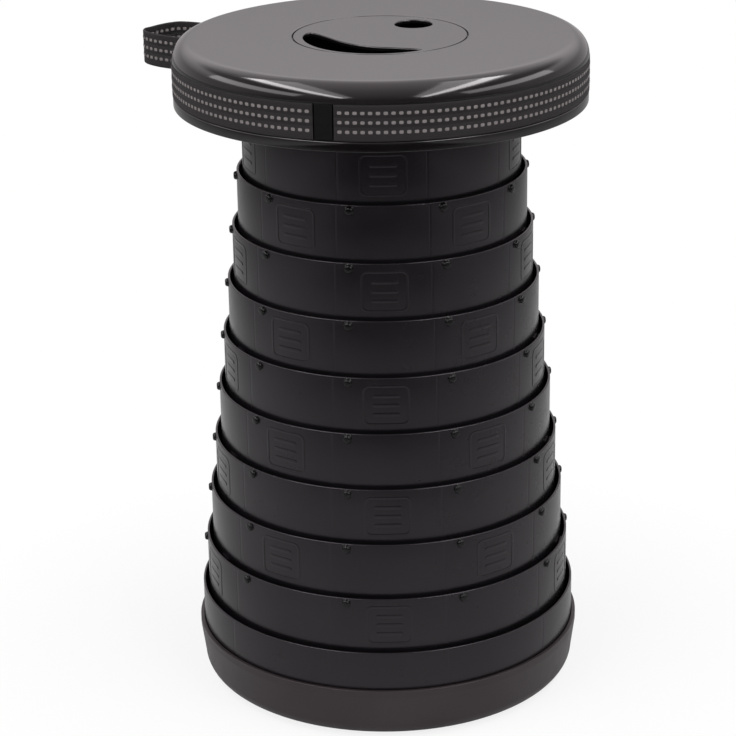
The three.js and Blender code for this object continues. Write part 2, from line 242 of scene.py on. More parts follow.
class Recipe:
    # A new material or world with its main shader, and short ways to add nodes and links
    def __init__(self, name, kind="materials", shader="Principled BSDF"):
        self.owner = getattr(bpy.data, kind).new(name)
        self.owner.use_nodes = True
        self.nodes = self.owner.node_tree.nodes
        self.links = self.owner.node_tree.links
        self.shader = self.nodes[shader]

    def add(self, kind, **settings):
        node = self.nodes.new("ShaderNode" + kind)
        for key, value in settings.items():
            setattr(node, key, value)
        return node

    def join(self, source, target):
        self.links.new(source, target)

    def place(self):
        return self.add("TexCoord").outputs["Object"]

    def axes(self, vector):
        node = self.add("SeparateXYZ")
        self.join(vector, node.inputs["Vector"])
        return [node.outputs[axis] for axis in "XYZ"]

    # Each value is a socket or a decimal number
    def combined(self, operation, *values):
        node = self.add("Math", operation=operation)
        for socket, value in zip(node.inputs, values):
            if isinstance(value, float):
                socket.default_value = value
            else:
                self.join(value, socket)
        return node.outputs["Value"]

    def noise(self, coordinates, scale, detail, stretch=(1, 1, 1)):
        mapping = self.add("Mapping")
        mapping.inputs["Scale"].default_value = stretch
        node = self.add("TexNoise")
        setInputs(node, {"Scale": scale, "Detail": detail})
        self.join(coordinates, mapping.inputs["Vector"])
        self.join(mapping.outputs["Vector"], node.inputs["Vector"])
        return node.outputs["Fac"]

    def span(self, value, low, high, fromLow=0.3, fromHigh=0.7):
        node = self.add("MapRange")
        setInputs(node, {"From Min": fromLow, "From Max": fromHigh, "To Min": low, "To Max": high})
        self.join(value, node.inputs["Value"])
        return node.outputs["Result"]

    def tint(self, value, dark, light):
        node = self.add("Mix", data_type="RGBA")
        setInputs(node, {"A": (*dark, 1), "B": (*light, 1)})
        self.join(value, node.inputs["Factor"])
        self.join(node.outputs["Result"], self.shader.inputs["Base Color"])

    def bump(self, height, distance, strength, under=None):
        node = self.add("Bump")
        setInputs(node, {"Distance": distance, "Strength": strength})
        self.join(height, node.inputs["Height"])
        if under:
            self.join(under, node.inputs["Normal"])
        self.join(node.outputs["Normal"], self.shader.inputs["Normal"])
        return node.outputs["Normal"]

    def blendShaders(self, share, first, second):
        node = self.add("MixShader")
        for socket, source in zip(node.inputs, (share, first, second)):
            self.join(source, socket)
        self.show(node.outputs["Shader"])

    def show(self, source):
        self.join(source, self.nodes["Material Output"].inputs["Surface"])


# A noise is given by its scale and detail, and the flow marks' by its stretch as well
plasticLook = {
    "clouds": (26, 4),
    "flow": (9, 3, (1, 1, 0.25)),
    "patches": (95, 5),
    "waves": (38, 1),
    "waveDepth": 0.15 * mm,
    "waveStrength": 0.10,
    "grainDetail": 2,
    "grainStrength": 0.5,
}


# Cloudy tint, slow flow marks, a fine grain and small differences in gloss
def mouldedPlastic(name, dark, light, smoothness, grain, grainDepth, specular=0.5, reflected=(1, 1, 1)):
    look = plasticLook
    recipe = Recipe(name)
    place = recipe.place()
    recipe.tint(recipe.span(recipe.noise(place, *look["clouds"]), 0, 1), dark, light)
    marks = [recipe.span(recipe.noise(place, *look[key]), smoothness[0] / 2, smoothness[1] / 2)
             for key in ("flow", "patches")]
    recipe.join(recipe.combined("ADD", *marks), recipe.shader.inputs["Roughness"])
    waves = recipe.bump(recipe.noise(place, *look["waves"]), look["waveDepth"], look["waveStrength"])
    recipe.bump(recipe.noise(place, grain, look["grainDetail"]), grainDepth, look["grainStrength"], waves)
    setInputs(recipe.shader, {"Specular IOR Level": specular, "Specular Tint": (*reflected, 1)})
    return recipe.owner


# Dark and light tone, roughness, the grain's scale and depth, strength and tint of reflections
lidPlastic = mouldedPlastic("gloss black lid", (0.0020, 0.0017, 0.0019), (0.0036, 0.0031, 0.0034),
                            (0.08, 0.12), 2400, 0.003 * mm, 0.48, (1.0, 0.96, 0.98))
capPlastic = mouldedPlastic("satin black cap", (0.0026, 0.0023, 0.0025), (0.0045, 0.0040, 0.0043),
                            (0.12, 0.17), 2200, 0.004 * mm, 0.42, (1.0, 0.96, 0.97))
ringPlastic = mouldedPlastic("satin black rings", (0.0036, 0.0031, 0.0037), (0.0060, 0.0052, 0.0061),
                             (0.22, 0.29), 1900, 0.008 * mm, 0.30, (1.0, 0.91, 0.99))
# The studs are the rings' plastic, made darker and less reflective so that they read black: painted shade
studPlasticWithPaintedShade = mouldedPlastic("gloss black studs with painted shade", (0.0008, 0.0007, 0.0008), (0.0014, 0.0012, 0.0014),
                             (0.10, 0.15), 2400, 0.004 * mm, 0.22)
trayPlastic = mouldedPlastic("charcoal tray", (0.0135, 0.0105, 0.0112), (0.0190, 0.0150, 0.0160),
                             (0.36, 0.46), 1500, 0.020 * mm, 0.31, (1.0, 0.88, 0.92))
collarPlastic = mouldedPlastic("black collar", (0.0070, 0.0068, 0.0072), (0.0100, 0.0096, 0.0102),
                               (0.30, 0.38), 1900, 0.010 * mm)


# Clouds and patches are a noise's scale and detail, and the grain its scale, depth and strength
def cloudyFinish(name, tones, clouds, smoothness, patches, grain, metallic=0.0):
    recipe = Recipe(name)
    place = recipe.place()
    recipe.tint(recipe.span(recipe.noise(place, *clouds), 0, 1), *tones)
    recipe.join(recipe.span(recipe.noise(place, *patches), *smoothness), recipe.shader.inputs["Roughness"])
    recipe.shader.inputs["Metallic"].default_value = metallic
    recipe.bump(recipe.noise(place, grain[0], plasticLook["grainDetail"]), *grain[1:])
    return recipe.owner


rubber = cloudyFinish("black rubber pads", ((0.007, 0.007, 0.007), (0.014, 0.013, 0.013)), (180, 4),
                      (0.72, 0.92), (90, 3), (1300, 0.05 * mm, 0.6))
zinc = cloudyFinish("zinc-plated screws", ((0.50, 0.51, 0.53), (0.62, 0.62, 0.61)), (300, 3),
                    (0.24, 0.38), (500, 2), (2500, 0.01 * mm, 0.4), metallic=1.0)

clothLook = {
    "fuzz": (1400, 3),          # scale and detail of its noise
    "fuzzShare": 0.3,
    "weaveShare": 0.7,
    "roughness": (0.62, 0.84),
    "bumpStrength": 0.9,
    "sheenRoughness": 0.4,
}


# Woven cloth: its threads run along the webbing (u) and across it (v), both in metres
def wovenMaterial(name, dark, light, threadPitch, crossPitch, depth, gloss=0.3, sheen=0.04):
    look = clothLook
    recipe = Recipe(name)
    along, across, _ = recipe.axes(recipe.add("UVMap", uv_map="run").outputs["UV"])
    waves = [recipe.combined("SINE", recipe.combined("MULTIPLY", way, 2 * math.pi / pitch))
             for way, pitch in ((along, crossPitch), (across, threadPitch))]
    lift = recipe.span(recipe.combined("MULTIPLY", *waves), 0, 1, -1, 1)
    fuzz = recipe.noise(recipe.place(), *look["fuzz"])
    fibres = recipe.span(fuzz, 0, look["fuzzShare"])
    height = recipe.combined("MULTIPLY_ADD", lift, look["weaveShare"], fibres)
    # Colour follows the weave's height: painted shade in the hollows between threads and a lighter tone on
    # the raised threads, with the fibre noise adding random tone
    recipe.tint(height, dark, light)
    recipe.join(recipe.span(fuzz, *look["roughness"]), recipe.shader.inputs["Roughness"])
    recipe.bump(height, depth, look["bumpStrength"])
    setInputs(recipe.shader, {"Sheen Weight": sheen, "Sheen Roughness": look["sheenRoughness"],
                              "Specular IOR Level": gloss})
    return recipe.owner


webbing = wovenMaterial("black webbing", (0.0030, 0.0026, 0.0027), (0.0200, 0.0174, 0.0182),
                        1.0 * mm, 1.5 * mm, 0.20 * mm, gloss=0.2, sheen=0.01)
tape = wovenMaterial("plain black tape", (0.0010, 0.0010, 0.0010), (0.003, 0.003, 0.003),
                     0.7 * mm, 0.9 * mm, 0.08 * mm, gloss=0.1, sheen=0)
yarn = wovenMaterial("pale yarn", (0.074, 0.064, 0.065), (0.213, 0.188, 0.189),
                     0.5 * mm, 0.9 * mm, 0.10 * mm)
print("materials made")


# The sliding rings and the fixed one
ringLook = {
    "steps": 240,
    "step": 3.96 * mm,          # how much each ring grows on the one before
    "wall": 1.6 * mm,
    "rimRounding": 0.6 * mm,
    "studAzimuth": -13.0,
    "studs": 10,
    "studRadius": 2.7 * mm,
    "studReach": 2.05 * mm,
    "studDrop": 3.5 * mm,       # from the rim down to the stud's middle
    "studRoot": 0.8 * mm,
    "studFoot": 0.35 * mm,      # how far the stud's foot spreads, and how high
    "studFootHeight": 0.3 * mm,
    "studTaper": 0.1 * mm,
    "studRounding": 1.5 * mm,
    "seamTurn": -5.5,           # degrees from a stud to the fine seam beside it
    "seamWidth": 0.36,          # degrees
    "seamDepth": 0.12 * mm,
    "seamSkin": 0.05 * mm,      # only what lies this near the outer wall is pressed in
    "edgeSteps": 4,
}
lugLook = {
    "count": 5,
    "turn": 18.0,               # degrees from a stud to a lug
    "nextTurn": 36.0,           # more in every second ring
    "half": 2.5,
    "height": 4.0 * mm,
    "stopHeight": 3.0 * mm,
    "shelfHeight": 3.0 * mm,
    "shelfTurn": 5.9,
    "overlap": 10.4 * mm,       # length of a ring that stays inside the next one
    "slack": 0.35 * mm,
    "runGap": 0.45 * mm,
    "root": 0.8 * mm,
}
panelLook = {
    "count": 5,
    "width": 28.0 * mm,
    "height": 25.0 * mm,
    "corner": 3.5 * mm,
    "line": 1.5 * mm,
    "relief": 0.22 * mm,
    "shoulder": 0.5,            # share of the relief below which a line's sides are upright
    "lineCrest": 0.6,           # share of its width that is flat on top
    "barCrest": 0.7,
    "bars": 3,
    "barLength": 17.0 * mm,
    "barWidth": 2.4 * mm,
    "barPitch": 6.0 * mm,
    "drop": 17.8 * mm,          # from the ring's rim down to the panel's middle
    "nextTurn": 36.0,           # degrees from one ring's panels to the next one's
    "root": 0.3 * mm,           # how deep the lines reach into the wall
    "lineStep": 2.5 * mm,
    "barShares": (-1, -0.985, -0.95, -0.9, -0.6, -0.3, 0, 0.3, 0.6, 0.9, 0.95, 0.985, 1),
    "barTip": 0.15,             # width of a bar's tip, as a share
}


def ringRadius(index):
    return fixedRadius - (ringCount - index) * ringLook["step"]


def seamAzimuths():
    return evenTurn(ringLook["studs"], ringLook["studAzimuth"] + ringLook["seamTurn"])


def ringAzimuths():
    seams = seamAzimuths()
    half = ringLook["seamWidth"] / 2
    near = np.concatenate([seams + share * half for share in (-1, -0.45, 0, 0.45, 1)])
    even = evenTurn(ringLook["steps"], ringLook["studAzimuth"])
    gap = np.abs((even[:, None] - seams[None, :] + 180) % 360 - 180).min(axis=1)
    return np.sort(np.concatenate([even[gap > ringLook["seamWidth"]], near]) % 360)


# How far a point of the outer wall is pressed in at the fine upright seams
def seamPress(outer):
    def press(azimuths, radii, heights):
        gap = np.abs((azimuths[..., None] - seamAzimuths() + 180) % 360 - 180).min(axis=-1)
        depth = np.clip(1 - gap / (ringLook["seamWidth"] / 2), 0, 1) * ringLook["seamDepth"]
        skin = ringLook["seamSkin"]
        return -depth * np.clip((radii - (outer - skin)) / skin, 0, 1)
    return press


def studShell(radius, azimuth, height):
    look = ringLook
    foot = look["studRadius"] + look["studFoot"]
    side = rounded([(0, -look["studRoot"]), (foot, -look["studRoot"]), (foot, 0),
                    (look["studRadius"], look["studFootHeight"]),
                    (look["studRadius"] - look["studTaper"], look["studReach"], look["studRounding"]),
                    (0, look["studReach"])], 7)
    vertices, faces = turned(side, 20)
    turn = Euler((math.radians(90), 0, math.radians(azimuth)), "XYZ").to_matrix()
    middle = Vector(polar(radius, azimuth, height))
    return [middle + turn @ Vector(v) for v in vertices], faces


def panelShells(radius, azimuth, middle):
    look = panelLook
    halfWide, halfHigh, line = look["width"] / 2, look["height"] / 2, look["line"] / 2
    path = []
    for x, z, first in ((halfWide, halfHigh, 0), (-halfWide, halfHigh, 90),
                        (-halfWide, -halfHigh, 180), (halfWide, -halfHigh, 270)):
        centreX = x - math.copysign(look["corner"], x)
        centreZ = z - math.copysign(look["corner"], z)
        for angle in np.linspace(first, first + 90, 7):
            normal = (math.cos(math.radians(angle)), math.sin(math.radians(angle)))
            path.append((centreX + look["corner"] * normal[0], centreZ + look["corner"] * normal[1], normal))
    full = []
    for (x0, z0, n0), (x1, z1, n1) in zip(path, path[1:] + path[:1]):
        pieces = max(1, round(math.hypot(x1 - x0, z1 - z0) / look["lineStep"]))
        for k in range(pieces):
            share = k / pieces
            full.append((x0 + (x1 - x0) * share, z0 + (z1 - z0) * share,
                         (n0[0] + (n1[0] - n0[0]) * share, n0[1] + (n1[1] - n0[1]) * share)))

    def section(halfWidth, crest):
        side = [(halfWidth, -look["root"]), (halfWidth, look["relief"] * look["shoulder"]),
                (halfWidth * crest, look["relief"])]
        return [(-across, rise) for across, rise in side] + side[::-1]

    shells = [lofted([[onWall((x + n[0] * a, z + n[1] * a, h), radius, azimuth, middle)
                       for a, h in section(line, look["lineCrest"])] for x, z, n in full], looped=True)]
    half, wide = look["barLength"] / 2, look["barWidth"] / 2
    for bar in range(look["bars"]):
        up = (bar - (look["bars"] - 1) / 2) * look["barPitch"]
        stations = []
        for share in look["barShares"]:
            inset = half * (1 - abs(share))
            spread = wide
            if inset <= wide:
                spread = math.sqrt(max(wide ** 2 - (wide - inset) ** 2, (look["barTip"] * wide) ** 2))
            stations.append([onWall((half * share, up + spread * a, h), radius, azimuth, middle)
                             for a, h in section(1, look["barCrest"])])
        shells.append(lofted(stations))
    return shells


def lugAzimuths(index):
    first = ringLook["studAzimuth"] + lugLook["turn"] + (index % 2) * lugLook["nextTurn"]
    return evenTurn(lugLook["count"], first)


def ringShells(index):
    low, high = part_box(ringNames[index - 1])
    outer = ringRadius(index)
    inner = outer - ringLook["wall"]
    profile = roundedBox(inner, outer, low.z, high.z, ringLook["rimRounding"], ringLook["edgeSteps"])
    shells = [spun(profile, ringAzimuths(), press=seamPress(outer))]
    lug = lugLook
    lugBottom = high.z - lug["overlap"]
    stopBottom = lugBottom + lug["height"] + lug["slack"]
    shelfTop = lugBottom - lug["slack"]
    catchInner = outer - ringLook["step"] + lug["runGap"]
    catchOuter = inner + lug["root"]
    for azimuth in lugAzimuths(index - 1):
        shells.append(curvedBlock(catchInner, catchOuter, stopBottom, stopBottom + lug["stopHeight"],
                                  azimuth, lug["half"]))
        shells.append(curvedBlock(catchInner, catchOuter, shelfTop - lug["shelfHeight"], shelfTop,
                                  azimuth - lug["shelfTurn"], lug["half"]))
    if index == ringCount:
        return shells
    lugReach = outer + ringLook["step"] - ringLook["wall"] - lug["runGap"]
    for azimuth in lugAzimuths(index):
        shells.append(curvedBlock(outer - lug["root"], lugReach, low.z, low.z + lug["height"],
                                  azimuth, lug["half"]))
    for azimuth in evenTurn(panelLook["count"], 0.0 if index % 2 else panelLook["nextTurn"]):
        shells.extend(panelShells(outer, azimuth, high.z - panelLook["drop"]))
    return shells


def studShells(index):
    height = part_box(ringNames[index - 1])[1].z - ringLook["studDrop"]
    return [studShell(ringRadius(index), azimuth, height)
            for azimuth in evenTurn(ringLook["studs"], ringLook["studAzimuth"])]


for index, node in enumerate(ringNames, start=1):
    body = "base" if index == ringCount else node + "_body"
    makePiece("moulded_" + node, ringShells(index), body, "ring", ringPlastic, node)
    if 1 < index < ringCount:
        makePiece("studs_" + node, studShells(index), body, "ring", studPlasticWithPaintedShade)
print("rings made")


# The tray at the foot
trayLook = {
    "steps": 288,
    "rimBand": 4.5 * mm,
    "rimRounding": 0.45 * mm,
    "rimInnerRounding": 0.3 * mm,
    "bandRounding": 1.2 * mm,
    "taper": 2.6 * mm,
    "corner": 10.0 * mm,
    "wall": 3.0 * mm,
    "footBand": 12.0 * mm,
    "footClear": 1.0 * mm,
    "footRounding": 0.8 * mm,
    "floorTop": 14.4 * mm,
    "floorThickness": 3.5 * mm,
    "floorRounding": 1.0 * mm,
    "underRounding": 1.5 * mm,
    "gap": 0.3 * mm,
    "ribs": 5,
    "ribHeight": 3.0 * mm,
    "ribWidth": 2.0 * mm,
    "ribInto": (1.0 * mm, 0.5 * mm),    # how far a rib's ends reach into the hub and the foot
    "hubRadius": 16.0 * mm,
    "hubRounding": 0.6 * mm,
    "hubSink": 1.5 * mm,        # the hub's hidden top below the floor's
    "padFirst": 18.0,           # azimuth of the first pad at the foot's edge
    "padHalf": 6.0,
    "pocketHalf": 6.2,
    "padSteps": 12,
    "padCut": 0.01 * mm,
    "padRounding": 0.7 * mm,
    "padSharpAngle": 40,
    "pocketLow": -2.0 * mm,
}


def straightRib(inner, outer, width, low, high, azimuth, rounding=0.4 * mm):
    across = rounded([(-width / 2, low, rounding), (width / 2, low, rounding),
                      (width / 2, high), (-width / 2, high)], 3)
    a = math.radians(azimuth)
    out, side = Vector((math.sin(a), -math.cos(a), 0)), Vector((math.cos(a), math.sin(a), 0))
    return lofted([[tuple(out * r + side * x + Vector((0, 0, z))) for x, z in across]
                   for r in np.linspace(inner, outer, 3)])


def makeTray():
    look = trayLook
    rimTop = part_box("base_tray")[1].z
    rimRadius = farthest("base_tray")
    innerRadius = fixedRadius + look["gap"]
    flankRadius = rimRadius - look["taper"]
    cornerMiddle = flankRadius - look["corner"]
    footInner = cornerMiddle - look["footBand"]
    under = look["floorTop"] - look["floorThickness"]
    profile = [(0, under)] + rounded([(0, under),
                                      (footInner - look["wall"], under, look["underRounding"]),
                                      (footInner, look["footClear"], look["footRounding"]),
                                      (cornerMiddle, look["footClear"])], 4)[1:-1]
    cornerTop = look["footClear"] + look["corner"]
    profile += quarterArc((cornerMiddle, cornerTop), look["corner"], look["corner"], -90, 0, 14)
    profile += rounded([(flankRadius, cornerTop),
                        (rimRadius, rimTop - look["rimBand"], look["bandRounding"]),
                        (rimRadius, rimTop, look["rimRounding"]),
                        (innerRadius, rimTop, look["rimInnerRounding"]),
                        (innerRadius, look["floorTop"], look["floorRounding"]),
                        (0, look["floorTop"])], 4)[1:]
    tray = makePiece("moulded_tray", [turned(profile, look["steps"], ringLook["studAzimuth"])],
                     "base", "tray", trayPlastic, "base_tray")

    def disc(radius, low, high):
        return turned([(0, low), (radius, low), (radius, high), (0, high)])

    hubTop = look["floorTop"] - look["hubSink"]
    hub = turned(rounded([(0, look["footClear"]), (look["hubRadius"], look["footClear"], look["hubRounding"]),
                          (look["hubRadius"], hubTop), (0, hubTop)], 3))
    centreRadius = farthest("foot_pad_centre")
    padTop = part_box("foot_pad_centre")[1].z
    pocketLow, pocketTop = look["pocketLow"], padTop + look["gap"]
    centrePocket = disc(centreRadius + look["gap"], pocketLow, pocketTop)
    pads = [("foot_pad_centre", disc(centreRadius, 0, padTop))]
    pockets = []
    padInner, padOuter = nearest("foot_pad_01"), farthest("foot_pad_01")
    edgePads = sorted(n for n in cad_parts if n.startswith("foot_pad") and n != "foot_pad_centre")
    for node, azimuth in zip(edgePads, evenTurn(len(edgePads), look["padFirst"])):
        pads.append((node, curvedBlock(padInner, padOuter, 0, padTop, azimuth, look["padHalf"],
                                       look["padCut"], look["padSteps"])))
        pockets.append(curvedBlock(padInner - look["gap"], padOuter + look["gap"], pocketLow, pocketTop,
                                   azimuth, look["pocketHalf"], look["padCut"], look["padSteps"]))
    cutAway(tray, pockets)
    hubPiece = makePiece("tray_hub", [hub], "base", "tray", trayPlastic)
    cutAway(hubPiece, [centrePocket])
    ribStart = look["hubRadius"] - look["ribInto"][0]
    ribEnd = footInner - look["wall"] + look["ribInto"][1]
    addShells(tray, [straightRib(ribStart, ribEnd, look["ribWidth"],
                                 under - look["ribHeight"], under + look["gap"], azimuth)
                     for azimuth in evenTurn(look["ribs"])])
    for node, shell in pads:
        pad = makePiece("rubber_" + node, [shell], "base", "rubber", rubber, node)
        modified(pad, "BEVEL", width=look["padRounding"], segments=3, limit_method="ANGLE",
                 angle_limit=math.radians(look["padSharpAngle"]))
        smooth(pad)


makeTray()
print("tray and pads made")


# The lid, its cap and the openings through both
lidLook = {
    "steps": 288,
    "plate": 4.0 * mm,
    "skirtGap": 1.1 * mm,
    "shoulderWidth": 10.8 * mm,
    "groove": 1.5 * mm,
    "clear": 0.25 * mm,
    "grooveLead": 0.6 * mm,     # where the shoulder's arc gives way to the groove's edge
    "grooveEdge": 0.35 * mm,
    "grooveCorner": 0.3 * mm,
    "lip": 0.5 * mm,
    "lipCrest": 0.9 * mm,
    "lipInner": 0.4 * mm,
    "underCorner": 1.5 * mm,
    "underLead": 2.0 * mm,
    "ledgeRounding": 0.3 * mm,
    "recessCorner": 0.2 * mm,
    "flatMargin": (1.5 * mm, 1.0 * mm),     # from the joint and from the shoulder to the flat top
    "ribs": 10,
    "ribClear": 4.0 * mm,
    "ribHeight": 6.0 * mm,
    "ribWidth": 2.0 * mm,
    "ribInto": 0.5 * mm,        # how far a rib reaches into the plate and the skirt
}
capLook = {
    "steps": 192,
    "ledge": 1.4 * mm,
    "gap": 0.3 * mm,
    "joint": 0.25 * mm,         # how far cap and lid each stand back, for a clear joint line
    "rounding": 0.5 * mm,
    "edgeRounding": 0.9 * mm,
    "lowEdge": 0.1 * mm,
    "overrun": 2.0 * mm,        # of the cutters, past both faces
    "mouthStep": 0.001 * mm,
}
slotLook = {
    "rim": 3.2 * mm,            # from the slot's outer edge out to the cap's edge
    "width": 21.8 * mm,
    "start": -101.0,            # azimuth of the left tip
    "span": 131.0,
    "edgeShares": [             # share of the span, then how far the outer and the inner edge lie inside
        (0, 0.33, 0.33), (0.01, 0.25, 0.44), (0.035, 0.19, 0.57), (0.08, 0.16, 0.71), (0.14, 0.14, 0.84),
        (0.22, 0.125, 0.94), (0.31, 0.095, 0.985), (0.42, 0.045, 1), (0.54, 0.01, 0.955), (0.66, 0, 0.87),
        (0.77, 0, 0.77), (0.86, 0.01, 0.65), (0.93, 0.025, 0.47), (0.975, 0.045, 0.31),
        (0.995, 0.075, 0.18), (1, 0.11, 0.11),
    ],
    "holeRadius": 12.0 * mm,
    "holeRim": 6.3 * mm,
    "holeAzimuth": 143.7,
}


# Points of a smooth curve from b up to c, with a before them and d after
def curveBetween(a, b, c, d, steps):
    return [tuple(b + 0.5 * t * (c - a) + t * t * (a - 2.5 * b + 2 * c - 0.5 * d)
                  + 0.5 * t ** 3 * (3 * b - a - 3 * c + d)) for t in np.arange(steps) / steps]


def curvedOutline(points, steps):
    outline = []
    for i in range(len(points)):
        near = (np.array(points[(i + k) % len(points)]) for k in (-1, 0, 1, 2))
        outline += curveBetween(*near, steps)
    return outline


def slotOutline(capRadius):
    look = slotLook

    def place(span, inset):
        radius = capRadius - look["rim"] - inset * look["width"]
        return polar(radius, look["start"] + span * look["span"], 0)[:2]

    outer = [place(span, inset) for span, inset, _ in look["edgeShares"]]
    inner = [place(span, inset) for span, _, inset in look["edgeShares"][1:-1]]
    return curvedOutline(outer + inner[::-1], 5)


def holeOutline(capRadius):
    look = slotLook
    x, y, _ = polar(capRadius - look["holeRim"] - look["holeRadius"], look["holeAzimuth"], 0)
    return [(x + look["holeRadius"] * math.cos(a), y + look["holeRadius"] * math.sin(a))
            for a in np.radians(evenTurn(72))]


# A cutter whose mouth flares out in a quarter circle, so that the cut edge is rounded over
def flaredCutter(outline, low, high, rounding):
    points = np.array(outline)
    ahead, behind = np.roll(points, -1, axis=0), np.roll(points, 1, axis=0)
    along = ahead - behind
    normals = np.stack([along[:, 1], -along[:, 0]], axis=1)
    normals /= np.linalg.norm(normals, axis=1)[:, None]
    x, y = points[:, 0], points[:, 1]
    if np.sum(x * np.roll(y, -1) - np.roll(x, -1) * y) < 0:
        normals = -normals
    levels = [(low, 0.0)]
    for angle in np.radians(np.linspace(0, 90, 6)):
        levels.append((high - rounding * (1 - math.sin(angle)), rounding * (1 - math.cos(angle))))
    levels.append((high + capLook["overrun"], rounding + capLook["mouthStep"]))
    return lofted([[(p[0] + n[0] * out, p[1] + n[1] * out, z) for p, n in zip(points, normals)]
                   for z, out in levels])


def makeLid():
    look = lidLook
    under = lidTop - look["plate"]
    inner = fixedRadius + look["skirtGap"]
    groove = brimRadius - look["groove"]
    grooveTop, grooveBottom = strapHigh + look["clear"], strapLow - look["clear"]
    shoulder = brimRadius - look["shoulderWidth"]
    recess = farthest("seat_centre_cap") + capLook["gap"] + capLook["joint"]
    ledgeTop = under + capLook["ledge"]
    ledgeInner = nearest("seat_lid")
    ledgeEdge = look["ledgeRounding"]
    profile = rounded([(ledgeInner, under, ledgeEdge), (ledgeInner, ledgeTop, ledgeEdge),
                       (recess, ledgeTop, look["recessCorner"]), (recess, lidTop, capLook["rounding"]),
                       (shoulder, lidTop)], 4)[:-1]
    profile += [(recess + look["flatMargin"][0], lidTop), (shoulder - look["flatMargin"][1], lidTop)]
    profile += quarterArc((shoulder, grooveTop), look["shoulderWidth"], lidTop - grooveTop, 90, 3, 26)
    profile += rounded([(brimRadius, grooveTop + look["grooveLead"]),
                        (brimRadius, grooveTop, look["grooveEdge"]),
                        (groove, grooveTop, look["grooveCorner"]),
                        (groove, grooveBottom, look["grooveCorner"]),
                        (brimRadius, grooveBottom, look["lipCrest"]),
                        (brimRadius, lidBottom + look["lip"])], 5)[1:-1]
    lipMiddle = (brimRadius - look["lip"], lidBottom + look["lip"])
    profile += quarterArc(lipMiddle, look["lip"], look["lip"], 0, -90, 10)
    profile += rounded([(lipMiddle[0], lidBottom), (inner, lidBottom, look["lipInner"]),
                        (inner, under, look["underCorner"]), (ledgeInner + look["underLead"], under)], 4)[1:]
    ribStart, ribEnd = farthest("collar_clamp_ring") + look["ribClear"], inner + look["ribInto"]
    ribs = [straightRib(ribStart, ribEnd, look["ribWidth"],
                        under - look["ribHeight"], under + look["ribInto"], azimuth)
            for azimuth in evenTurn(look["ribs"], ringLook["studAzimuth"])]
    makePiece("moulded_lid", [spun(profile, evenTurn(look["steps"], ringLook["studAzimuth"])), *ribs],
              "seat", "lid", lidPlastic, "seat_lid", "seat_lid_skirt")


def makeCap():
    look = capLook
    capRadius = farthest("seat_centre_cap")
    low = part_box("seat_centre_cap")[0].z
    edge = capRadius - look["joint"]
    disc = rounded([(0, low), (edge, low, look["lowEdge"]),
                    (edge, lidTop, look["rounding"]), (0, lidTop)], 4)
    cap = makePiece("moulded_cap", [turned(disc, look["steps"])],
                    "seat", "cap", capPlastic, "seat_centre_cap")
    cutAway(cap, [flaredCutter(outline, low - look["overrun"], lidTop, look["edgeRounding"])
                  for outline in (slotOutline(capRadius), holeOutline(capRadius))])


makeLid()
makeCap()
print("lid and cap made")


# The collar and its screws keep their CAD shapes
for node in ["seat_collar", "collar_clamp_ring"] + ["collar_screw_%d" % i for i in range(1, 6)]:
    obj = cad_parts[node]
    obj.data.materials.clear()
    obj.data.materials.append(zinc if "screw" in node else collarPlastic)
    smooth(obj)


# The webbing: flat stretches in the lid's groove, a carrying loop and a plain keeper
strapLook = {
    "step": 2.0 * mm,
    "rows": 3,
    "rowPitch": 5.7 * mm,
    "rowDrop": 4.7 * mm,        # from the top edge down to the first row
    "furrow": 0.22 * mm,
    "furrowHalf": 0.5 * mm,
    "edgeShares": (0.35, 0.8),  # of half the thickness: the flat of an edge, and its rounding
    "dashPitch": 4.5 * mm,
    "dashLength": 2.7 * mm,
    "dashWidth": 2.1 * mm,
    "dashLevels": (             # height over the webbing, and share of the stitch's outline
        (-0.25 * mm, 1.0), (0.088 * mm, 0.96), (0.16 * mm, 0.62),
    ),
    "dashMargin": 1.2 * mm,     # from a stretch's end to its first stitch, at least
    "dashPower": 0.6,           # below 1 the stitch's outline is squarer than an oval
    "keeperAzimuth": -15.4,
    "keeperHalf": 2.4,
    "keeperThinner": 0.3 * mm,
    "endGap": 0.4,
}
# The carrying loop seen from above: share of the strap's radius, and azimuth
loopRouteShares = [
    (1, -108.5), (1.008, -111), (1.045, -112.6), (1.14, -113.8), (1.23, -114.7), (1.312, -116.4),
    (1.352, -118.6), (1.345, -121), (1.338, -123.5), (1.322, -126.2), (1.288, -128.4), (1.19, -129.9),
    (1.1, -129.9), (1.037, -130.4), (1.008, -131.7), (1, -134),
]


def arcRoute(radius, start, end):
    count = max(2, round(math.radians(end - start) * radius / strapLook["step"]))
    return [polar(radius, azimuth, 0)[:2] for azimuth in np.linspace(start, end, count + 1)]


def loopRoute(radius):
    knots = [np.array(polar(radius * share, azimuth, 0)[:2]) for share, azimuth in loopRouteShares]
    knots = [2 * knots[0] - knots[1]] + knots + [2 * knots[-1] - knots[-2]]
    route = []
    for a, b, c, d in zip(knots, knots[1:], knots[2:], knots[3:]):
        route += curveBetween(a, b, c, d, 8)
    route.append(tuple(knots[-2]))
    return evenSpacing(route, strapLook["step"] / 2)


def lengthsAlong(points):
    return np.concatenate([[0], np.cumsum(np.linalg.norm(np.diff(points, axis=0), axis=1))])


def evenSpacing(route, spacing):
    points = np.array(route)
    lengths = lengthsAlong(points)
    wanted = np.linspace(0, lengths[-1], max(2, round(lengths[-1] / spacing)) + 1)
    return list(zip(np.interp(wanted, lengths, points[:, 0]), np.interp(wanted, lengths, points[:, 1])))


def alongRoute(route):
    points = np.array(route)
    heading = np.gradient(points, axis=0)
    heading /= np.linalg.norm(heading, axis=1)[:, None]
    out = np.stack([heading[:, 1], -heading[:, 0]], axis=1)
    return points, heading, out, lengthsAlong(points)


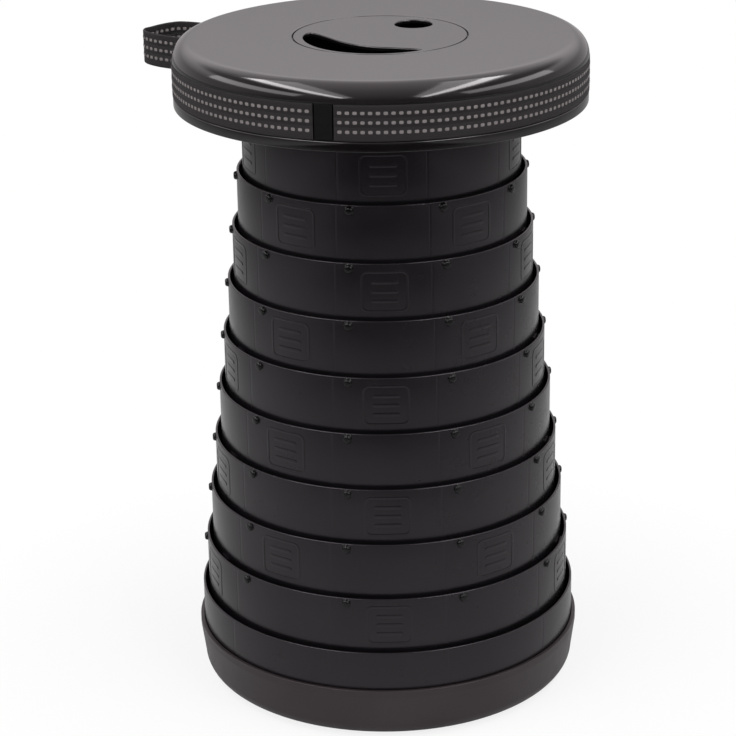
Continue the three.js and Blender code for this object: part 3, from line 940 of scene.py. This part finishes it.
# The section of the webbing: rounded edges and a furrow on each face between the rows
def strapSection(thickness, furrows):
    half = thickness / 2
    flat, bend = (half * share for share in strapLook["edgeShares"])
    wide = strapLook["furrowHalf"]
    face = [(flat, strapLow), (half, strapLow + bend)]
    for row in range(strapLook["rows"] - 1, 0, -1) if furrows else ():
        middle = strapHigh - strapLook["rowDrop"] - (row - 0.5) * strapLook["rowPitch"]
        face += [(half, middle - wide), (half - strapLook["furrow"], middle), (half, middle + wide)]
    face += [(half, strapHigh - bend), (flat, strapHigh)]
    return face + [(-x, z) for x, z in reversed(face)]


def giveRun(obj, route):
    # UV map "run": length along the strap and height, both in metres
    points, heading, _, lengths = alongRoute(route)
    layer = obj.data.uv_layers.new(name="run")
    flat = np.array([v.co[:] for v in obj.data.vertices])
    nearestPoint = ((flat[:, None, :2] - points[None, :, :]) ** 2).sum(axis=2).argmin(axis=1)
    offset = ((flat[:, :2] - points[nearestPoint]) * heading[nearestPoint]).sum(axis=1)
    run = lengths[nearestPoint] + offset
    for loop in obj.data.loops:
        layer.data[loop.index].uv = (run[loop.vertex_index], flat[loop.vertex_index, 2])


def strapPiece(name, route, thickness, material, slotName, node, furrows=True):
    points, _, out, _ = alongRoute(route)
    section = strapSection(thickness, furrows)
    stations = [[(p[0] + n[0] * x, p[1] + n[1] * x, z) for x, z in section] for p, n in zip(points, out)]
    piece = makePiece(name, [lofted(stations)], "seat", slotName, material, node)
    giveRun(piece, route)
    return piece


def dashShell(place, heading, out, height):
    look = strapLook

    def reach(value, size):
        return math.copysign(abs(value) ** look["dashPower"], value) * size / 2

    stations = []
    for rise, share in look["dashLevels"]:
        ring = []
        for angle in np.radians(evenTurn(10, 18)):
            along = reach(math.cos(angle), look["dashLength"]) * share
            up = reach(math.sin(angle), look["dashWidth"]) * share
            ring.append((place[0] + heading[0] * along + out[0] * rise,
                         place[1] + heading[1] * along + out[1] * rise, height + up))
        stations.append(ring)
    return lofted(stations)


def dashPiece(name, route, thickness, sides):
    look = strapLook
    points, heading, out, lengths = alongRoute(route)
    count = int((lengths[-1] - 2 * look["dashMargin"]) / look["dashPitch"])
    first = (lengths[-1] - count * look["dashPitch"]) / 2
    shells = []
    for k in range(count + 1):
        at = first + k * look["dashPitch"]
        place, along, away = ([np.interp(at, lengths, values[:, i]) for i in range(2)]
                              for values in (points, heading, out))
        for side in sides:
            face = [place[i] + side * away[i] * thickness / 2 for i in range(2)]
            for row in range(look["rows"]):
                height = strapHigh - look["rowDrop"] - row * look["rowPitch"]
                shells.append(dashShell(face, along, [side * a for a in away], height))
    piece = makePiece(name, shells, "seat", "webbing", yarn)
    giveRun(piece, route)
    return piece


def makeStraps():
    look = strapLook
    thickness = strapOuter - strapInner
    middle = (strapInner + strapOuter) / 2
    keeperLeft = look["keeperAzimuth"] - look["keeperHalf"]
    keeperRight = look["keeperAzimuth"] + look["keeperHalf"]
    loopFront, loopBack = loopRouteShares[0][1], loopRouteShares[-1][1]
    stretches = {
        "strap_left": arcRoute(middle, loopFront + look["endGap"], keeperLeft - look["endGap"]),
        "strap_right": arcRoute(middle, keeperRight + look["endGap"], loopBack + 360 - look["endGap"]),
        "strap_loop": loopRoute(middle),
    }
    for node, route in stretches.items():
        strapPiece("woven_" + node, route, thickness, webbing, "webbing", node)
        dashPiece("yarn_" + node, route, thickness, (1, -1) if node == "strap_loop" else (1,))
    thinner = look["keeperThinner"]
    strapPiece("woven_strap_keeper", arcRoute(middle - thinner / 2, keeperLeft, keeperRight),
               thickness - thinner, tape, "tape", "strap_keeper", furrows=False)


makeStraps()
print("webbing made")


# Camera at the photograph's view
cameraLook = {
    "place": (-10.94 * mm, -1507.8 * mm, 767.6 * mm),
    "down": 20.40,
    "roll": -0.93,
    "lens": 119.6,
    "sensor": 36.0,
    "clipStart": 0.05,
}
cameraData = bpy.data.cameras.new("camera")
camera = linked("camera", cameraData)
cameraData.lens = cameraLook["lens"]
cameraData.sensor_width = cameraLook["sensor"]
cameraData.clip_start = cameraLook["clipStart"]
camera.matrix_world = (Matrix.Translation(cameraLook["place"])
                       @ Matrix.Rotation(math.radians(90 - cameraLook["down"]), 4, "X")
                       @ Matrix.Rotation(math.radians(cameraLook["roll"]), 4, "Z"))
scene.camera = camera


# The studio: pale floor, white surroundings, soft lamps, and what only gloss sees
studioLook = {
    "floorRadius": 6.0,
    "floorColour": (0.70, 0.70, 0.70),
    "floorRoughness": 0.9,
    "floorGloss": 0.1,
    "floorSink": 0.2 * mm,
    "floorWhite": (0.82, 1.0),      # share of white that the camera sees, under the stool and away from it
    "floorReach": (0.13, 0.34),
    "worldLight": 0.32,
    "lamps": {                  # place, size, turn in plan from parallel to the Y axis, watts
        "left strip": ((-0.86, -1.25, 1.32), (3.0, 0.15), -6.7, 15),
        "right strip": ((0.83, -1.26, 1.32), (3.0, 0.15), 10.2, 15),
        "left spread": ((-0.76, -1.25, 1.33), (3.0, 0.42), -6.7, 10),
        "right spread": ((0.73, -1.26, 1.33), (3.0, 0.42), 10.2, 10),
        "left softbox": ((-2.1, -0.70, 1.33), (2.8, 0.6), 0, 15),
        "right softbox": ((2.1, -0.70, 1.33), (2.8, 0.6), 0, 15),
    },
    "aimHeight": 0.30,
    "domeRadius": 3.5,
    "frontGlow": (0.25, 1.35),      # what gloss sees in front, from low to overhead
    "frontReach": (-0.30, 1.0),     # heights that give the two glows, in radii, less frontLean x the distance
    "frontLean": 0.6,
    "backGlow": (0.62, 1.60),
    "backReach": (0.30, 0.55),
    "blendReach": (-0.45, 0.20),    # from front to back
    "sideFall": 0.70,               # share by which the glow falls at the upper sides
    "sideReach": (0.42, 0.66),
    "sideHeight": (0.52, 0.62),
    "glowTint": (1.0, 0.948, 0.966),
    "cardGlow": 0.04,
    "cardReach": (0.15, 1.35),      # distances in front of the stool where the floor card begins and is full
    "cardFar": 3.4,
    "cardHeight": 1.0 * mm,
    "cardWidth": 2.4,
}


def makeWorld():
    recipe = Recipe("white surroundings", "worlds", "Background")
    scene.world = recipe.owner
    # 1 for what the camera, gloss and clear pieces see, 0 for light that falls on the object
    path = recipe.add("LightPath").outputs
    mask = path["Is Camera Ray"]
    for name in ("Is Glossy Ray", "Is Transmission Ray"):
        mask = recipe.combined("MAXIMUM", mask, path[name])
    recipe.shader.inputs["Color"].default_value = (1, 1, 1, 1)
    recipe.join(recipe.span(mask, studioLook["worldLight"], 1, 0, 1), recipe.shader.inputs["Strength"])


def makeFloor():
    look = studioLook
    vertices, faces = turned([(0, 0), (look["floorRadius"], 0)], 96)
    mesh = bpy.data.meshes.new("floor")
    mesh.from_pydata([tuple(v) for v in vertices], [], faces)
    floor = linked("floor", mesh)
    floor.location.z = -look["floorSink"]
    recipe = Recipe("pale floor")
    setInputs(recipe.shader, {"Base Color": (*look["floorColour"], 1), "Roughness": look["floorRoughness"],
                              "Specular IOR Level": look["floorGloss"]})
    glow = recipe.add("Emission")
    glow.inputs["Color"].default_value = (1, 1, 1, 1)
    away = recipe.add("VectorMath", operation="LENGTH")
    recipe.join(recipe.place(), away.inputs[0])
    fade = recipe.span(away.outputs["Value"], *look["floorWhite"], *look["floorReach"])
    seen = recipe.combined("MULTIPLY", recipe.add("LightPath").outputs["Is Camera Ray"], fade)
    recipe.blendShaders(seen, recipe.shader.outputs["BSDF"], glow.outputs["Emission"])
    mesh.materials.append(recipe.owner)


# What gloss alone sees: a glowing dome that paints the reflected light of a soft ceiling, and a dark card on
# the floor in front that paints the floor's reflection dark
def onlyReflected(name, shell, material):
    obj = linked(name, makeMesh(name, [shell]))
    obj.data.materials.append(material)
    obj.visible_camera = obj.visible_diffuse = obj.visible_shadow = False
    obj.visible_transmission = obj.visible_volume_scatter = False


def makeReflectedGlow():
    look = studioLook
    radius = look["domeRadius"]
    # The dome's glow is painted reflected light: bright behind and overhead, dimmer in front and at the upper
    # sides
    recipe = Recipe("reflected glow dome")
    across, along, height = recipe.axes(recipe.place())

    def blend(value, ends, reach):
        return recipe.span(value, *ends, *(share * radius for share in reach))

    lean = recipe.combined("MULTIPLY_ADD", along, look["frontLean"], height)
    front = recipe.combined("MULTIPLY", blend(lean, look["frontGlow"], look["frontReach"]),
                            blend(along, (1, 0), look["blendReach"]))
    glow = recipe.combined("MULTIPLY_ADD", blend(height, look["backGlow"], look["backReach"]),
                           blend(along, (0, 1), look["blendReach"]), front)
    aside = blend(recipe.combined("ABSOLUTE", across), (0, look["sideFall"]), look["sideReach"])
    fall = recipe.combined("MULTIPLY", aside, blend(height, (0, 1), look["sideHeight"]))
    shine = recipe.combined("MULTIPLY", glow, recipe.combined("SUBTRACT", 1.0, fall))
    lit = recipe.add("Emission")
    lit.inputs["Color"].default_value = (*look["glowTint"], 1)
    recipe.join(shine, lit.inputs["Strength"])
    recipe.show(lit.outputs["Emission"])
    profile = quarterArc((0, 0), radius, radius, 0.5, 90, 24)
    onlyReflected("reflected_glow_dome", turned(profile), recipe.owner)


def makeDarkReflectionCard():
    look = studioLook
    # A dark sheet over the floor that only reflections see: painted dark reflection, fading out towards the
    # stool
    recipe = Recipe("painted dark reflection card")
    _, along, _ = recipe.axes(recipe.place())
    near, far = look["cardReach"]
    dark = recipe.add("Emission")
    dark.inputs["Strength"].default_value = look["cardGlow"]
    recipe.blendShaders(recipe.span(along, 1, 0, -far, -near),
                        recipe.add("BsdfTransparent").outputs["BSDF"], dark.outputs["Emission"])
    half, high = look["cardWidth"] / 2, look["cardHeight"]
    corners = [(-half, -look["cardFar"]), (half, -look["cardFar"]), (half, -near), (-half, -near)]
    onlyReflected("dark_reflection_card", ([(x, y, high) for x, y in corners], [(0, 1, 2, 3)]), recipe.owner)


def makeLamps():
    for name, (place, size, turn, watts) in studioLook["lamps"].items():
        data = bpy.data.lights.new(name, "AREA")
        data.shape = "RECTANGLE"
        data.size, data.size_y = size
        data.energy = watts
        obj = linked(name, data)
        obj.location = place
        aim = Vector((0, obj.location.y, studioLook["aimHeight"])) - obj.location
        obj.rotation_mode = "QUATERNION"
        swing = Quaternion((0, 0, 1), math.radians(turn))
        obj.rotation_quaternion = swing @ aim.to_track_quat("-Z", "Y")
        obj.visible_camera = False


makeWorld()
makeFloor()
makeLamps()
makeReflectedGlow()
makeDarkReflectionCard()
scene.view_settings.view_transform = "Standard"
print("studio made")
